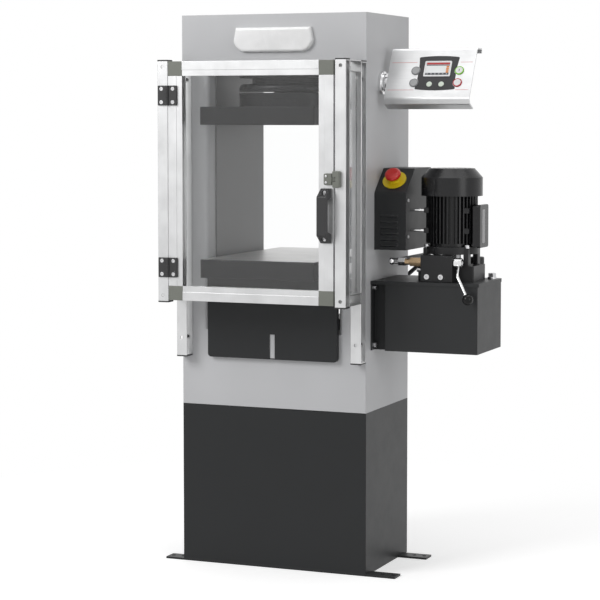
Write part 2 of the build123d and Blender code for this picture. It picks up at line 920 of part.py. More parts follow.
manifold_front = front + manifold_setback
manifold_right = manifold_left + manifold_width
manifold_top = lid_top + manifold_height
port_y = front + port_setback
port_z = lid_top + port_height
lever_y = front + lever_hub_setback


def manifold_screw_places():
    middle = manifold_left + manifold_width * 0.42
    z = lid_top + manifold_screw_height
    return [(middle - manifold_screw_pitch / 2, z), (middle + manifold_screw_pitch / 2, z)]


def manifold_block():
    body = block(manifold_left, manifold_right, manifold_front, manifold_front + manifold_depth,
                 lid_top, manifold_top)
    body = chamfer(body.edges(), 1)
    body -= rod_x(manifold_left - 1, manifold_left + port_bore_depth, port_y, port_z,
                  port_bore_diameter / 2)
    body -= rod_x(manifold_right - lever_spindle_length, manifold_right + 1, lever_y, port_z,
                  lever_spindle_diameter / 2 + running_clearance)
    for x, z in manifold_screw_places():
        y = manifold_front
        body -= rod_y(x, y - 1, y + cap_shank_length, z, cap_shank_diameter / 2 + screw_fit)
        body -= rod_y(x, y - 1, y + cap_head_height - 2, z, cap_head_diameter / 2 + screw_fit)
    return body


def bleed_screw():
    """Small hex screw low on the manifold's left face."""
    z = lid_top + manifold_height * 0.42
    x1 = manifold_left
    head = hex_x(x1 - bleed_screw_length, x1 - bleed_screw_length * 0.45, port_y, z, bleed_screw_flats)
    return head + rod_x(x1 - bleed_screw_length * 0.45, x1, port_y, z, bleed_screw_flats * 0.35)


def valve_lever():
    """Chrome hub on the spindle, with the bent rod that carries the ball."""
    x0 = manifold_right + small_gap
    x1 = x0 + lever_hub_length
    radius = lever_hub_diameter / 2
    hub = rod_x(x0, x1, lever_y, port_z, radius)
    hub = chamfer(hub.edges().filter_by(GeomType.CIRCLE), 1.5)
    hub += rod_x(manifold_right - lever_spindle_length + 1, x0 + 1, lever_y, port_z,
                 lever_spindle_diameter / 2)
    hub -= rod_x(x1 - 2, x1 + 1, lever_y, port_z, radius * 0.45)
    mid = (x0 + x1) / 2
    start = (mid, lever_y, port_z)
    bend = (mid + lever_bend_out, lever_y - lever_bend_forward, port_z - lever_bend_drop)
    end = lever_ball_centre()
    path = FilletPolyline(start, bend, end, radius=lever_bend_radius)
    section = Plane(origin=path @ 0, z_dir=path % 0) * Circle(lever_rod_diameter / 2)
    return hub + sweep(section, path=path)


def lever_ball_centre():
    mid = manifold_right + small_gap + lever_hub_length / 2
    return mid + lever_ball_out, lever_y - lever_ball_forward, port_z - lever_ball_drop


def lever_knob(rod):
    """Ball on the rod's end, bored to the rod."""
    ball = Pos(*lever_ball_centre()) * Sphere(lever_ball_diameter / 2)
    return ball - rod


# Pressure fittings and hose


def bronze_union():
    x1 = manifold_left
    x0 = x1 - union_length
    body = hex_x(x0, x1, port_y, port_z, union_across_flats)
    body += rod_x(x1, x1 + port_bore_depth - 1, port_y, port_z, port_bore_diameter / 2 - screw_fit)
    return body + rod_x(x0 - collar_length, x0, port_y, port_z, collar_diameter / 2)


def elbow_x():
    return manifold_left - union_length - collar_length - nut_length - elbow_stem - elbow_diameter / 2


def hose_elbow():
    """Swivel nut, stem and the round elbow that turns to the back."""
    x1 = manifold_left - union_length - collar_length
    x0 = x1 - nut_length
    centre = elbow_x()
    body = hex_x(x0, x1, port_y, port_z, nut_across_flats)
    body += rod_x(centre, x0, port_y, port_z, elbow_diameter / 2 - 1.5)
    body += Pos(centre, port_y, port_z) * Sphere(elbow_diameter / 2 + 1)
    return body + rod_y(centre, port_y, port_y + elbow_length, port_z, elbow_diameter / 2)


def pressure_hose():
    """Hose from the elbow to the back of the frame, in straight runs and tangent arcs."""
    x = elbow_x()
    back = -front
    start = (x, port_y + elbow_length, port_z)
    turn_in = (x, back + hose_behind_frame, port_z)
    turn_down = (hose_port_x, back + hose_behind_frame, hose_port_height)
    end = (hose_port_x, back, hose_port_height)
    path = FilletPolyline(start, turn_in, turn_down, end, radius=hose_bend_radius)
    section = Plane(origin=path @ 0, z_dir=path % 0) * Circle(hose_diameter / 2)
    return sweep(section, path=path)


# Motor, bell housing and pump

motor_y = front + motor_setback
bell_top = lid_top + bell_height + bell_flange_thickness
body_top = bell_top + motor_body_height
cowl_bottom = bell_top + cowl_bottom_gap
coupling_bottom = lid_top + bell_base_height + coupling_clear
cowl_top = cowl_bottom + cowl_side_height + cowl_chamfer_height


def at_motor(shape):
    return Pos(motor_x, motor_y, 0) * shape


def motor_bell():
    """Bell housing: a thick base on the tank lid, four pillars and the motor's flange."""
    flange = rod_z(0, 0, bell_top - bell_flange_thickness, bell_top, bell_flange_diameter / 2)
    base_top = lid_top + bell_base_height
    half_x = bell_base_width / 2
    half_y = bell_base_depth / 2
    base = block(-half_x, half_x, -half_y, half_y, lid_top, base_top)
    bell = flange + fillet(edges_along(base, Axis.Z, lambda c: True), bell_base_round)
    pillar_top = bell_top - pillar_screw_drop
    for x, y in pillar_places():
        pillar = block(x - pillar_width / 2, x + pillar_width / 2, y - pillar_depth / 2,
                       y + pillar_depth / 2,
                       base_top - 1, pillar_top)
        bell += chamfer(edges_along(pillar, Axis.Z, lambda c: True), 1.5)
    bell -= rod_z(0, 0, bell_top - bell_flange_thickness - 1, bell_top + 1,
                  coupling_diameter / 2 + small_gap)
    bell -= rod_z(0, 0, lid_top - 1, base_top + 1, pump_diameter / 2 + running_clearance)
    for x, y in pillar_places():
        bell -= rod_z(x, y, pillar_top - cap_shank_length, bell_top, cap_shank_diameter / 2 + screw_fit)
        bell -= rod_z(x, y, pillar_top, bell_top + 1, cap_head_diameter / 2 + screw_fit)
    return at_motor(bell)


def pillar_places():
    """Screw places on top of the pillars, from the motor's axis."""
    return [(sx * pillar_offset_x, sy * pillar_offset_y) for sx in (-1, 1) for sy in (-1, 1)]


def motor_housing():
    """Finned motor body with foot pads, end walls and a bore for the rotor."""
    core = motor_core_diameter / 2
    tip = motor_fin_diameter / 2
    body = rod_z(0, 0, bell_top, body_top, core)
    fin_low = bell_top + fin_start
    fin_high = cowl_bottom + 1
    for step in range(motor_fins):
        half = motor_fin_thickness / 2
        fin = block(core - 1.5, tip, -half, half, fin_low, fin_high)
        body += Rot(0, 0, step * 360 / motor_fins) * fin
    for x, y in pillar_places():
        reach = foot_pad_offset_x / pillar_offset_x
        for height in foot_pad_heights:
            z = bell_top + height
            half = foot_pad_size / 2
            pad = block(x * reach - half, x * reach + half, y - half, y + half, z - half, z + half)
            body += chamfer(pad.edges().filter_by(Axis.Y), 2)
    spigot = rod_z(0, 0, cowl_bottom + 2, body_top, cowl_diameter / 2 - cowl_wall - small_gap)
    for step in range(4):
        slot = Rot(0, 0, 45 + step * 90) * block(-12, 12, 0, cowl_diameter, cowl_bottom, body_top + 1)
        body += (spigot & slot)
    body -= rod_z(0, 0, bell_top + motor_end_wall, body_top - motor_end_wall, motor_bore_diameter / 2)
    body -= rod_z(0, 0, bell_top - 1, body_top + 1, shaft_diameter / 2 + running_clearance)
    return at_motor(body)


def motor_cowl():
    """Fan cowl: a cylinder and cone shell with slotted rings in its top."""
    radius = cowl_diameter / 2
    top = cowl_top_diameter / 2
    shoulder = cowl_bottom + cowl_side_height
    outline = Polyline(
        (radius - cowl_wall, cowl_bottom), (radius, cowl_bottom), (radius, shoulder), (top, cowl_top),
        (0, cowl_top), (0, cowl_top - cowl_wall), (top - 1, cowl_top - cowl_wall),
        (radius - cowl_wall, shoulder - 1), close=True)
    shell = revolve(Plane.XZ * make_face(outline), Axis.Z)
    for ring in range(cowl_grille_rings):
        inner = top * (0.36 + 0.2 * ring)
        outer = inner + 5
        slots = rod_z(0, 0, cowl_top - cowl_wall - 1, cowl_top + 1, outer)
        slots -= rod_z(0, 0, cowl_top - cowl_wall - 1, cowl_top + 1, inner)
        for step in range(4):
            slots -= Rot(0, 0, step * 90 + 45) * block(0, radius, -3, 3, cowl_top - cowl_wall - 1,
                                                       cowl_top + 1)
        shell -= slots
    return at_motor(shell)


def motor_terminal_box():
    """Box on the motor's right side with a separate-looking raised lid."""
    half = terminal_box_width / 2
    z0 = bell_top - 2
    z1 = z0 + terminal_box_height
    x0 = motor_fin_diameter / 2 + small_gap
    x1 = terminal_box_reach
    body = block(x0, x1 - terminal_lid_thickness, -half + 3, half - 3, z0 + 3, z1 - 3)
    lid = block(x1 - terminal_lid_thickness, x1, -half, half, z0, z1)
    lid = fillet(edges_along(lid, Axis.X, lambda c: True), 6)
    lid = fillet(lid.faces().sort_by(Axis.X)[-1].edges(), 2)
    return at_motor(body + lid)


def motor_rotor():
    """Shaft, rotor core and the coupling half at its lower end."""
    middle = (bell_top + body_top) / 2
    shaft = rod_z(0, 0, coupling_bottom, body_top + fan_shaft_length, shaft_diameter / 2)
    core = rod_z(0, 0, middle - rotor_length / 2, middle + rotor_length / 2, rotor_diameter / 2)
    coupling = rod_z(0, 0, coupling_bottom, coupling_bottom + coupling_height, coupling_diameter / 2)
    rotor = shaft + core + chamfer(coupling.edges().filter_by(GeomType.CIRCLE), 1.5)
    rotor -= rod_z(0, 0, coupling_bottom - 1, coupling_bottom + pump_shaft_grip, pump_shaft_diameter / 2
                   + running_clearance)
    return at_motor(rotor)


def motor_fan():
    """Radial fan pressed on the shaft's upper end."""
    base = body_top + 3
    hub = rod_z(0, 0, base, base + fan_height, shaft_diameter)
    plate = rod_z(0, 0, base, base + 2.5, fan_diameter / 2)
    fan = hub + plate
    for step in range(fan_blades):
        blade = block(shaft_diameter - 1, fan_diameter / 2 - 2, -1, 1, base, base + fan_height)
        fan += Rot(0, 0, step * 360 / fan_blades) * blade
    fan -= rod_z(0, 0, base - 1, base + fan_height + 1, shaft_diameter / 2)
    return at_motor(fan)


def pump_body():
    """Pump in the tank, hung from the lid, with its shaft standing up into the coupling."""
    top = lid_top + bell_base_height
    body = rod_z(0, 0, top - pump_length, top, pump_diameter / 2)
    body += rod_z(0, 0, top - pump_length + 6, top - pump_length + 20, pump_diameter / 2 + 8)
    body += rod_z(0, 0, top, coupling_bottom + pump_shaft_grip - 1, pump_shaft_diameter / 2)
    return at_motor(body)


# Filler, plug and screws on the tank


def filler_neck():
    y = front + filler_setback
    neck = rod_z(filler_x, y, lid_top, lid_top + filler_collar_height, filler_collar_diameter / 2)
    neck = chamfer(neck.edges().filter_by(GeomType.CIRCLE), 1.5)
    neck += rod_z(filler_x, y, tank_top - 8, lid_top + filler_neck_height, filler_neck_diameter / 2)
    return neck - rod_z(filler_x, y, tank_top - 9, lid_top + filler_neck_height + 1,
                        filler_neck_diameter / 2 - 2.5)


def filler_cap():
    """Ribbed breather cap over the neck. It rests on the neck's rim and lifts off."""
    y = front + filler_setback
    rim = lid_top + filler_neck_height
    top = rim + filler_cap_height - filler_cap_overlap
    cap = rod_z(filler_x, y, rim - filler_cap_overlap, top, filler_cap_diameter / 2)
    cap = fillet(cap.edges().group_by(Axis.Z)[-1], 3)
    for step in range(filler_cap_grips):
        angle = math.radians(step * 360 / filler_cap_grips)
        reach = filler_cap_diameter / 2 + 1
        cap -= rod_z(filler_x + reach * math.cos(angle), y + reach * math.sin(angle),
                     rim - filler_cap_overlap - 1,
                     top - 3, 2)
    return cap - rod_z(filler_x, y, rim - filler_cap_overlap - 1, rim,
                       filler_neck_diameter / 2 + screw_fit)


def tank_plug():
    y = front + plug_setback
    plug = rod_z(plug_x, y, lid_top, lid_top + plug_height * 0.35, plug_across_flats * 0.62)
    head = hex_z(plug_x, y, lid_top + plug_height * 0.35, lid_top + plug_height, plug_across_flats)
    return plug + chamfer(head.edges().group_by(Axis.Z)[-1], 1)


def cap_screws():
    """Socket cap screws of the manifold, the bracket and the bell housing."""
    screws = []
    for x, z in manifold_screw_places():
        y = manifold_front
        screw = rod_y(x, y - 2, y + cap_head_height - 2, z, cap_head_diameter / 2)
        screw += rod_y(x, y, y + cap_shank_length - 1, z, cap_shank_diameter / 2)
        screws.append(screw - rod_y(x, y - 3, y + 2, z, cap_socket_diameter / 2))
    for x, y, z in bracket_screw_places():
        screw = rod_x(x, x + cap_head_height, y, z, cap_head_diameter / 2)
        screw += rod_x(half_width, x, y, z, cap_shank_diameter / 2)
        screws.append(screw - rod_x(x + cap_head_height - 4, x + cap_head_height + 1, y, z,
                                    cap_socket_diameter / 2))
    for x, y in pillar_places():
        z = bell_top - pillar_screw_drop
        screw = rod_z(x, y, z, z + cap_head_height, cap_head_diameter / 2)
        screw += rod_z(x, y, z - cap_shank_length + 1, z, cap_shank_diameter / 2)
        screw -= rod_z(x, y, z + cap_head_height - 4, z + cap_head_height + 1, cap_socket_diameter / 2)
        screws.append(at_motor(screw))
    return screws


# Control box and emergency stop

box_front = front + box_setback
box_right = half_width + box_width
box_top = box_bottom + box_height
slope_rise = box_height - box_front_height
slope_length = math.hypot(box_slope_run, slope_rise)


def box_outline(inset):
    y0 = box_front + inset
    y1 = box_front + box_depth - inset
    z0 = box_bottom + inset
    z1 = box_top - inset
    shift = inset * (slope_length - slope_rise) / box_slope_run
    points = [(y0, z0), (y0, box_bottom + box_front_height - shift),
              (box_front + box_slope_run + shift, z1),
              (y1, z1), (y1, z0)]
    return points


def box_solid(inset, x0, x1):
    solid = side_profile(box_outline(inset), x0, x1)
    across = solid.edges().filter_by(Axis.X)
    bend = [e for e in across if e.center().Y < box_front + 5 and e.center().Z > box_bottom + 20]
    solid = fillet(bend, box_bend_radius)
    crest = [e for e in solid.edges().filter_by(Axis.X) if abs(e.center().Y - box_front - box_slope_run) < 6
             and e.center().Z > box_top - 6]
    return fillet(crest, box_bend_radius / 2)


def louvre(z, inset, back, below):
    """One hood on the front face. inset shrinks it to its own hollow, which opens below."""
    x0 = half_width + louvre_inset
    face = box_front - louvre_proud + inset
    low = z - below
    bend = z + louvre_height * 0.3 - inset
    high = z + louvre_height - inset
    points = [(box_front + back, low), (face, low), (face, bend), (box_front, high),
              (box_front + back, high)]
    hood = side_profile(points, x0 + inset, x0 + louvre_length - inset)
    ends = [e for e in hood.edges().filter_by(Axis.Z) if abs(e.center().Y - face) < 0.1]
    return chamfer(ends, 2)


def louvre_heights():
    return [louvre_first - louvre_height - step * louvre_pitch for step in range(louvre_count)]


def control_box():
    box = box_solid(0, half_width, box_right)
    for z in louvre_heights():
        box += louvre(z, 0, box_sheet / 2, 0)
    box -= box_solid(box_sheet, half_width - 1, box_right - box_sheet)
    for z in louvre_heights():
        box -= louvre(z, box_sheet * 0.7, box_sheet + 1, 1)
    box -= estop_place() * Cylinder(estop_stem_diameter / 2 + 2, 20)
    for y, z in side_screw_places():
        box -= rod_x(box_right - box_sheet - 1, box_right + 1, y, z, screw_shank_diameter / 2 + screw_fit)
    return box


def side_screw_places():
    y = box_front + side_screw_inset
    return [(y, box_bottom + box_front_height - 19), (y, box_bottom + 33)]


def box_screws():
    screws = []
    for y, z in side_screw_places():
        head = rod_x(box_right, box_right + 3, y, z, screw_head_diameter / 2)
        head = fillet(head.edges().sort_by(Axis.X)[-1:], 1)
        head += rod_x(box_right - box_sheet, box_right, y, z, screw_shank_diameter / 2)
        screws.append(head - rod_x(box_right + 1.5, box_right + 4, y, z, 1.5))
    return screws


def estop_place():
    """Frame on the sloping face, with its z pointing away from the box."""
    y = box_front + box_slope_run / 2
    z = box_bottom + box_front_height + slope_rise / 2
    normal = (0, -slope_rise, box_slope_run)
    return Plane((half_width + box_width / 2, y, z), x_dir=(1, 0, 0), z_dir=normal)


def estop_disc():
    """Yellow disc and grey collar around the stem."""
    disc = Pos(0, 0, estop_disc_thickness / 2) * Cylinder(estop_disc_diameter / 2, estop_disc_thickness)
    height = estop_disc_thickness + estop_collar_height
    disc += Pos(0, 0, height / 2) * Cylinder(estop_collar_diameter / 2, height)
    disc -= Cylinder(estop_stem_diameter / 2 + running_clearance, 60)
    return estop_place() * disc


def estop_mushroom():
    """Red head on its stem, held off the collar by its travel."""
    base = estop_disc_thickness + estop_collar_height + estop_travel + 1
    head = Pos(0, 0, base + estop_head_height / 2) * Cylinder(estop_head_diameter / 2, estop_head_height)
    head = fillet(head.edges().group_by(Axis.Z)[-1], estop_head_height * 0.6)
    head = fillet(head.edges().group_by(Axis.Z)[0], 2)
    stem_low = -box_sheet - 6
    head += Pos(0, 0, (base + stem_low + 2) / 2) * Cylinder(estop_stem_diameter / 2, base - stem_low + 2)
    return estop_place() * head


def standoff_rods():
    """Two chrome spacers from the control box to the motor's foot pads."""
    y = motor_y - foot_pad_offset_y
    x1 = motor_x - foot_pad_offset_x - foot_pad_size / 2
    rods = []
    for height in foot_pad_heights:
        rod = rod_x(box_right, x1, y, bell_top + height, standoff_diameter / 2)
        rods.append(chamfer(rod.edges().filter_by(GeomType.CIRCLE), 0.6))
    return rods


# Console

console_pivot_y = front + console_pivot_setback
panel_low_y = front + 63.5
panel_low_z = 1184.0
panel_tilt = math.radians(28.1)


def panel_plane():
    """Face of the console: u from its left end, v up the slope, w towards the operator."""
    normal = (0, -math.cos(panel_tilt), math.sin(panel_tilt))
    return Plane((console_left, panel_low_y, panel_low_z), x_dir=(1, 0, 0), z_dir=normal)


def panel_disc(u, v, w0, w1, radius):
    return panel_plane() * Pos(u, v, (w0 + w1) / 2) * Cylinder(radius, w1 - w0)


def ring_key_places():
    return [(panel_middle - ring_key_offset, 77.3), (panel_middle - ring_key_offset, 43.5),
            (panel_middle + ring_key_offset, 77.3), (panel_middle + ring_key_offset, 43.5)]


def small_key_places():
    return [(panel_middle - small_key_offset, 39.2), (panel_middle + small_key_offset, 39.2)]


def console_shell():
    """Bent aluminium section with its top lip, sloping face and curled lower edge."""
    half = console_sheet / 2
    top = console_top - half
    sine = math.sin(panel_tilt)
    cosine = math.cos(panel_tilt)
    low = (panel_low_y + half * cosine, panel_low_z - half * sine)
    rise = (top - low[1]) / cosine
    crest = (low[0] + rise * sine, top)
    back = crest[0] + console_lip_depth
    nose = (low[0] + 5, low[1] - 12)
    curl = (low[0] + 30, console_bottom + half)
    line = FilletPolyline((back, top - 11), (back, top), crest, low, nose, curl, radius=[2, 7, 9, 5])
    section = trace(line, line_width=console_sheet)
    shell = Pos(console_left, 0, 0) * extrude(Plane.YZ * section, console_width)
    for u, v in ring_key_places():
        shell -= panel_disc(u, v, -console_sheet - 1, 1, ring_key_diameter / 2 + key_fit)
    for u, v in small_key_places():
        shell -= panel_disc(u, v, -console_sheet - 1, 1, small_key_diameter / 2 + key_fit)
    return shell


def console_case():
    """Closed electronics case behind the face, bored for the pivot shaft on its left."""
    w1 = -console_sheet
    w0 = w1 - console_case_depth
    length = console_width - 2 * console_case_inset
    case = Pos(console_width / 2, (case_low + case_high) / 2, (w0 + w1) / 2) * Box(
        length, case_high - case_low, console_case_depth)
    rear = [e for e in case.edges().filter_by(Axis.X) if e.center().Z < w0 + 1]
    case = fillet(rear, 8)
    case = panel_plane() * case
    x0 = console_left + console_case_inset
    return case - rod_x(x0 - 1, x0 + shaft_grip, console_pivot_y, console_pivot_height,
                        console_shaft_diameter / 2 + running_clearance)


def console_collar():
    """Chrome flange and stepped ring on the frame's side, with the pivot shaft."""
    x0 = half_width
    x1 = x0 + console_collar_thickness
    args = (console_pivot_y, console_pivot_height)
    flange = rod_x(x0, x1, *args, console_collar_diameter / 2)
    flange = fillet(flange.edges().filter_by(GeomType.CIRCLE).sort_by(Axis.X)[-1:], 2)
    ring = rod_x(x1, x1 + 7, *args, console_collar_diameter * 0.4)
    shaft_end = console_left + console_case_inset + shaft_grip - 1
    return flange + ring + rod_x(x1, shaft_end, *args, console_shaft_diameter / 2)


def console_overlay():
    """Black membrane with curved ends and waisted sides, cut round the keys and the screen."""
    w = overlay_width / 2
    u = panel_middle
    v0 = overlay_low
    v1 = overlay_high
    bow = 3.5
    low = ThreePointArc((u - w, v0), (u, v0 - bow), (u + w, v0))
    right = ThreePointArc((u + w, v0), (u + w - bow, (v0 + v1) / 2), (u + w, v1))
    high = ThreePointArc((u + w, v1), (u, v1 + bow), (u - w, v1))
    left = ThreePointArc((u - w, v1), (u - w + bow, (v0 + v1) / 2), (u - w, v0))
    plate = extrude(make_face(low + right + high + left), overlay_thickness)
    plate = fillet(plate.edges().filter_by(Axis.Z), 3)
    plate = panel_plane() * plate
    for ku, kv in ring_key_places():
        plate -= panel_disc(ku, kv, -1, 3, ring_key_diameter / 2 + 0.8)
    for ku, kv in small_key_places():
        plate -= panel_disc(ku, kv, -1, 3, small_key_diameter / 2 + key_fit)
    return plate


def console_screen():
    """Raised bezel with the display face sunk in it."""
    w = screen_width / 2
    h = screen_height / 2
    frame = Pos(0, 0, bezel_thickness / 2) * Box(2 * w, 2 * h, bezel_thickness)
    frame = fillet(frame.edges().filter_by(Axis.Z), 3)
    window = Pos(0, 0, bezel_thickness) * Box(2 * w - 6, 2 * h - 6, bezel_thickness)
    frame -= window
    return panel_plane() * Pos(panel_middle, screen_middle, overlay_thickness) * frame


def console_key(u, v, diameter):
    radius = diameter / 2
    key = Pos(0, 0, (key_proud - key_sunk) / 2) * Cylinder(radius, key_proud + key_sunk)
    key = fillet(key.edges().group_by(Axis.Z)[-1], 0.8)
    if diameter > small_key_diameter:
        key -= Pos(0, 0, key_proud) * Cylinder(radius * 0.62, 1.0)
    return panel_plane() * Pos(u, v, 0) * key


def all_nodes():
    lever = valve_lever()
    ring_names = ["console_key_upper_left", "console_key_lower_left", "console_key_start",
                  "console_key_stop"]
    small_names = ["console_key_small_left", "console_key_small_right"]
    nodes = {
        "base_pedestal": [base_pedestal()],
        "foot_bars": foot_bars(),
        "load_frame": [load_frame()],
        "column_liners": column_liners(),
        "badge_plate": [badge_plate()],
        "lower_front_cover": [lower_front_cover()],
        "hydraulic_cylinder": [hydraulic_cylinder()],
        "ram_piston": [ram_piston()],
        "lower_platen": [platen(lower_platen_bottom, lower_platen_thickness)],
        "upper_seat_housing": [upper_seat_housing()],
        "ball_seat": [ball_seat()],
        "upper_platen": [platen(upper_platen_bottom, upper_platen_thickness)],
        "guard_profiles": guard_uprights() + guard_side_rails(),
        "guard_side_panes": guard_side_panes(),
        "guard_end_caps": guard_end_caps(),
        "guard_screws": guard_screws() + hinge_screws(-1) + box_screws(),
        "hinge_leaves_post": hinge_leaves(-1) + hinge_pins(),
        "latch_keeper": [latch_keeper()],
        "door_profiles": door_profiles(),
        "door_corner_blocks": door_corner_blocks(),
        "door_pane": [pane_block(0)],
        "door_handle": [door_handle()],
        "hinge_leaves_door": hinge_leaves(1),
        "door_latch": [door_latch()],
        "door_screws": door_screws(),
        "oil_tank": [oil_tank()],
        "tank_lid": [tank_lid()],
        "cap_screws": cap_screws(),
        "manifold_block": [manifold_block()],
        "bleed_screw": [bleed_screw()],
        "valve_lever": [lever],
        "lever_knob": [lever_knob(lever)],
        "bronze_union": [bronze_union()],
        "hose_elbow": [hose_elbow()],
        "pressure_hose": [pressure_hose()],
        "motor_bell": [motor_bell()],
        "motor_housing": [motor_housing()],
        "motor_cowl": [motor_cowl()],
        "motor_terminal_box": [motor_terminal_box()],
        "motor_rotor": [motor_rotor()],
        "motor_fan": [motor_fan()],
        "pump_body": [pump_body()],
        "filler_neck": [filler_neck()],
        "filler_cap": [filler_cap()],
        "tank_plug": [tank_plug()],
        "control_box": [control_box()],
        "estop_disc": [estop_disc()],
        "estop_mushroom": [estop_mushroom()],
        "standoff_rods": standoff_rods(),
        "console_collar": [console_collar()],
        "console_shell": [console_shell()],
        "console_case": [console_case()],
        "console_overlay": [console_overlay()],
        "console_screen": [console_screen()],
    }
    for name, (u, v) in zip(ring_names, ring_key_places()):
        nodes[name] = [console_key(u, v, ring_key_diameter)]
    for name, (u, v) in zip(small_names, small_key_places()):
        nodes[name] = [console_key(u, v, small_key_diameter)]
    return nodes


os.makedirs("parts", exist_ok=True)
for node_name, node_solids in all_nodes().items():
    write(node_name, node_solids)
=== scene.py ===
import math

import bpy
import bmesh
from mathutils import Matrix, Vector


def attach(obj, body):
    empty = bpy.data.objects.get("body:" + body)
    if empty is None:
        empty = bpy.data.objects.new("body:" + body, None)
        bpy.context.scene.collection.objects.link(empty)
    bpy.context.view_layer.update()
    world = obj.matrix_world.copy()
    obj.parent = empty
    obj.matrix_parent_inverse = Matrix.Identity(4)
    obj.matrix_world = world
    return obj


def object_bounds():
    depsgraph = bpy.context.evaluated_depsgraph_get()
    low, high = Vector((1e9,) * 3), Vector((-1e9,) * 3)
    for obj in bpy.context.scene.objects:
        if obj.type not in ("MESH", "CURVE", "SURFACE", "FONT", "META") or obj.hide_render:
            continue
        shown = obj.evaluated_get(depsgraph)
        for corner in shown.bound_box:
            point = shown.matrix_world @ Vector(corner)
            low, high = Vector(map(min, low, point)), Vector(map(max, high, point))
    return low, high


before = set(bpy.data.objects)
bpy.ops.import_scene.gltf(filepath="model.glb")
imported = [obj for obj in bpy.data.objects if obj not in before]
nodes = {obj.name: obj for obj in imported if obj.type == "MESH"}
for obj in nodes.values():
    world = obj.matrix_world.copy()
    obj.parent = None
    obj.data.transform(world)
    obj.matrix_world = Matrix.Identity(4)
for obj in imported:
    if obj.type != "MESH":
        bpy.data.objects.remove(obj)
cad_box = [list(corner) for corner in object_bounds()]


# Shader helpers

def principled(name, colour, metallic, roughness):
    material = bpy.data.materials.new(name)
    material.use_nodes = True
    tree = material.node_tree
    shader = next(n for n in tree.nodes if n.type == "BSDF_PRINCIPLED")
    shader.inputs["Base Color"].default_value = (*colour, 1.0)
    shader.inputs["Metallic"].default_value = metallic
    shader.inputs["Roughness"].default_value = roughness
    return material, tree, shader


def add(tree, kind, **values):
    node = tree.nodes.new(kind)
    for key, value in values.items():
        setattr(node, key, value)
    return node


def place(tree, stretch=(1.0, 1.0, 1.0)):
    """Object coordinates, in metres, stretched along the axes."""
    where = add(tree, "ShaderNodeTexCoord")
    mapping = add(tree, "ShaderNodeMapping")
    mapping.inputs["Scale"].default_value = stretch
    tree.links.new(where.outputs["Object"], mapping.inputs["Vector"])
    return mapping.outputs["Vector"]


def noise(tree, vector, scale, detail=3.0, rough=0.5):
    node = add(tree, "ShaderNodeTexNoise")
    node.inputs["Scale"].default_value = scale
    node.inputs["Detail"].default_value = detail
    node.inputs["Roughness"].default_value = rough
    tree.links.new(vector, node.inputs["Vector"])
    return node.outputs["Fac"]


def between(tree, value, low, high, to_low, to_high):
    """The value's range from low to high, laid over the range from to_low to to_high."""
    node = add(tree, "ShaderNodeMapRange")
    node.inputs["From Min"].default_value = low
    node.inputs["From Max"].default_value = high
    node.inputs["To Min"].default_value = to_low
    node.inputs["To Max"].default_value = to_high
    tree.links.new(value, node.inputs["Value"])
    return node.outputs["Result"]


def mix_colour(tree, factor, first, second):
    node = add(tree, "ShaderNodeMix", data_type="RGBA", blend_type="MIX")
    for socket, value in ((node.inputs[6], first), (node.inputs[7], second)):
        if isinstance(value, tuple):
            socket.default_value = (*value, 1.0)
        else:
            tree.links.new(value, socket)
    tree.links.new(factor, node.inputs[0])
    return node.outputs[2]


def math_node(tree, kind, first, second):
    node = add(tree, "ShaderNodeMath", operation=kind)
    for socket, value in zip(node.inputs, (first, second)):
        if isinstance(value, float):
            socket.default_value = value
        else:
            tree.links.new(value, socket)
    return node.outputs[0]


def bump(tree, height, strength, distance, normal):
    node = add(tree, "ShaderNodeBump")
    node.inputs["Strength"].default_value = strength
    node.inputs["Distance"].default_value = distance
    tree.links.new(height, node.inputs["Height"])
    tree.links.new(normal, node.inputs["Normal"])
    return node.outputs["Normal"]


def soft_edges(tree, radius):
    """Rounded normals at the edges, and a mask that is 1 on an edge."""
    bevel = add(tree, "ShaderNodeBevel", samples=4)
    bevel.inputs["Radius"].default_value = radius
    geometry = add(tree, "ShaderNodeNewGeometry")
    dot = add(tree, "ShaderNodeVectorMath", operation="DOT_PRODUCT")
    tree.links.new(bevel.outputs["Normal"], dot.inputs[0])
    tree.links.new(geometry.outputs["Normal"], dot.inputs[1])
    mask = between(tree, dot.outputs["Value"], 0.99, 0.85, 0.0, 1.0)
    return bevel.outputs["Normal"], mask


def lighter(colour, share):
    return tuple(min(1.0, c * share) for c in colour)


def two_tones(tree, pattern, colour, low, high):
    """A colour that drifts between a darker and a lighter share of itself."""
    drift = between(tree, pattern, 0.3, 0.7, 0.0, 1.0)
    return mix_colour(tree, drift, lighter(colour, low), lighter(colour, high))


def seen_rays(tree):
    """1 for camera, glossy and transmission rays, which see the white studio."""
    ray = add(tree, "ShaderNodeLightPath")
    seen = math_node(tree, "MAXIMUM", ray.outputs["Is Camera Ray"], ray.outputs["Is Glossy Ray"])
    return math_node(tree, "MAXIMUM", seen, ray.outputs["Is Transmission Ray"])


# Kinds of material

